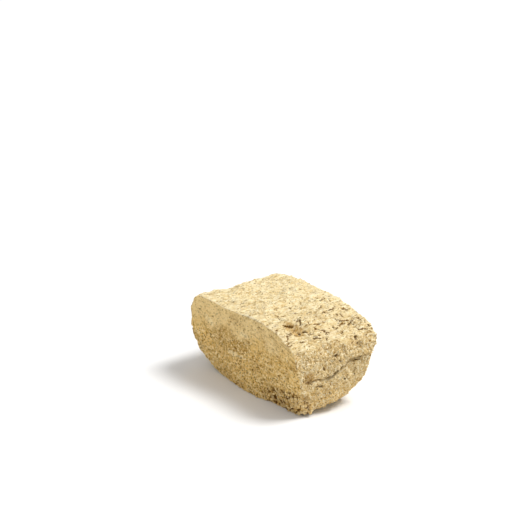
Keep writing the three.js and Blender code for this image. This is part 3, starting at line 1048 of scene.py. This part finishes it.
def paste_colour(net, place, shade):
    """Pressed paste: streaked and speckled, browner on the knife cuts, with painted shade in its hollows,
    pits, torn strokes and sunk relief, and painted highlights on its raised relief.
    """
    sides = net.attributes("top", "end", "cut")
    height, hollow, deep = net.attributes("height", "hollow", "deep")
    colour = top_colour(net, place, cut_colour(net, place, side_colour(net, place)))
    lower = net.fall(net.parts(place)[2], *SPANS["Speckled cut"])
    colour = grain_colour(net, place, colour, shade, lower)

    # Painted shade in the relief's valleys, partly the paste's own browner crevices, and painted highlights
    # on its ridges.
    sunk = net.fall(height, *SPANS["Shade in sunk relief"])
    colour = net.laid(colour, BROWN, sunk, net.by_side(sides, *SHARES["Shade in sunk relief"]))
    colour = net.laid(colour, PALE, net.ramp(height, *SPANS["Highlight on raised relief"]), SHARES["Highlight on raised relief"])
    # Painted shade in the hollows, such as the crack: tan blotches.
    blotch = net.ramp(hollow_roughness(net, place), *SPANS["Shade blotches in hollows"])
    colour = net.laid(colour, TAN, hollow, net.between(blotch, *SHARES["Shade blotches in hollows"]))
    colour = net.laid(colour, AMBER, torn_lumps(net, place))
    # Painted shade in the pits and holes: brown, and darker still on the top and low on the cuts.
    pitted = pits(net, place)
    colour = net.laid(colour, BROWN, pitted, SHARES["Shade in pits"])
    on_cuts = net.times(lower, SHARES["Deep shade in pits low on cuts"])
    colour = net.laid(colour, CREVICE_SHADE, pitted, net.by_side(sides, SHARES["Deep shade in pits on top"], 0.0, on_cuts))
    # Painted warm shade in the deepest hollows.
    colour = net.laid(colour, AMBER, deep, SHARES["Deep"])
    # Painted shadow along the torn strokes, with less of it on the ends where the hollow is deep.
    on_ends = net.between(deep, *SHARES["Shade in strokes on deep ends"])
    by_side = net.by_side(sides, SHARES["Shade in strokes on top"], on_ends, SHARES["Shade in strokes on cuts"])
    colour = net.laid(colour, CREVICE_SHADE, torn_strokes(net, place), by_side)
    return net.laid(colour, HULL, net.dots(place, "Speck"), SHARES["Specks"])


def halva_paste():
    net = Paint("halva paste")
    place = net.add("ShaderNodeAttribute", output="Vector", attribute_name="rest")
    shade = grain_shade(net, place)
    net.finish("Base Color", paste_colour(net, place, shade))
    fine = net.plus(net.noise(place, net.sizes["Grit size"], "Grit", detail=3.0), shade)
    depth = net.sizes["Bump depth"] * MM
    inputs = {"Height": fine, "Strength": net.sizes["Bump strength"], "Distance": depth}
    net.finish("Normal", net.add("ShaderNodeBump", inputs))
    return net.material


def fibre_paste():
    """Loose fibres of the paste, each a shade of its own."""
    net = Paint("halva fibres")
    shade = net.attributes("shade")[0]
    colour = net.laid(bit_colour(net), TAN, net.fall(shade, *SPANS["Tan fibres"]), SHARES["Tan fibres"])
    colour = net.laid(colour, PALE, net.ramp(shade, *SPANS["Pale fibres"]), SHARES["Pale fibres"])
    net.finish("Base Color", colour)
    return net.material


def crumb_paste():
    """Crumbs of the paste, from brown to cream."""
    net = Paint("halva crumbs")
    shade = net.attributes("shade")[0]
    colour = net.laid(linear(END_CREAM), TAN, net.fall(shade, *SPANS["Tan crumbs"]), SHARES["Tan crumbs"])
    colour = net.laid(colour, CREAM, net.ramp(shade, *SPANS["Cream crumbs"]), SHARES["Cream crumbs"])
    net.finish("Base Color", colour)
    return net.material


def hull_skin():
    """Ground hull of the seeds: dark, from olive to red brown."""
    net = Paint("hull skin")
    net.finish("Base Color", net.laid(linear(HULL), BROWN, net.attributes("shade")[0]))
    return net.material


def floor_paint():
    net = Paint("pale floor")
    net.shader.inputs["Base Color"].default_value = (FLOOR_SHADE, FLOOR_SHADE, FLOOR_SHADE, 1)
    return net.material


def make_floor():
    half = FLOOR_SIDE / 2
    mesh = bpy.data.meshes.new("floor")
    corners = [(-half, -half, 0), (half, -half, 0), (half, half, 0), (-half, half, 0)]
    mesh.from_pydata(corners, [], [(0, 1, 2, 3)])
    mesh.materials.append(floor_paint())
    new_piece("floor", mesh)


def make_light():
    world = bpy.data.worlds.new("studio")
    world.use_nodes = True
    sky = world.node_tree.nodes["Background"]
    sky.inputs["Strength"].default_value = SKY_STRENGTH
    sky.inputs["Color"].default_value = (1, 1, 1, 1)
    bpy.context.scene.world = world
    lamp = bpy.data.lights.new("softbox", "AREA")
    lamp.size = LAMP_SIDE
    lamp.energy = LAMP_POWER
    holder = new_piece("softbox", lamp)
    holder.location = LAMP_PLACE
    holder.rotation_euler = (AIM_POINT - LAMP_PLACE).to_track_quat("-Z", "Y").to_euler()


def make_camera():
    """A level camera, turned so that the aim point falls on its pixel."""
    level = math.cos(ELEVATION)
    back = Vector((math.sin(AZIMUTH) * level, -math.cos(AZIMUTH) * level, math.sin(ELEVATION)))
    right = (AIM_PIXEL[0] - PICTURE_SIDE / 2) / FOCAL_PIXELS
    up = (PICTURE_SIDE / 2 - AIM_PIXEL[1]) / FOCAL_PIXELS
    ray = Vector((right, up, -1)).normalized()
    tilt = math.atan2(ray.y, ray.z) - math.acos(-back.z / math.hypot(ray.y, ray.z))
    ahead = ray.y * math.cos(tilt) - ray.z * math.sin(tilt)
    turn = math.atan2(-back.y, -back.x) - math.atan2(ahead, ray.x)
    data = bpy.data.cameras.new("camera")
    data.sensor_width = SENSOR
    data.lens = FOCAL_PIXELS * SENSOR / PICTURE_SIDE
    data.clip_start = CLIP_START
    camera = new_piece("camera", data)
    camera.location = AIM_POINT + CAMERA_DISTANCE * back
    camera.rotation_euler = (tilt, 0, turn)
    bpy.context.scene.camera = camera


def joined_copy(solid):
    """A copy of a solid's mesh, with its loose triangles merged and joined in pairs."""
    mesh = solid.copy()
    work = bmesh.new()
    work.from_mesh(mesh)
    bmesh.ops.remove_doubles(work, verts=work.verts, dist=MERGE_DISTANCE)
    bmesh.ops.join_triangles(
        work, faces=work.faces, angle_face_threshold=ANY_ANGLE, angle_shape_threshold=ANY_ANGLE
    )
    work.to_mesh(mesh)
    work.free()
    return mesh


def make_block():
    """The block itself, in the place of its solid."""
    piece = new_piece("halva_body", joined_copy(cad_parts[BLOCK_NODE].data))
    relief_tree(halva_paste()).grow(piece)
    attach(piece, BODY)
    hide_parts(BLOCK_NODE)
    return piece


def make_strewn(name, block, kind, material):
    """Bits of one kind over the finished surface of the block."""
    piece = new_piece(name, block.data.copy())
    strewn_tree(name.replace("_", " "), kind, material).grow(piece)
    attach(piece, BODY)


make_camera()
make_light()
make_floor()
halva_body = make_block()
make_strewn("halva_fibres", halva_body, FIBRES, fibre_paste())
make_strewn("hull_flecks", halva_body, HULL_FLECKS, hull_skin())
make_strewn("halva_crumbs", halva_body, CRUMBS, crumb_paste())
bpy.context.scene.view_settings.view_transform = "Standard"
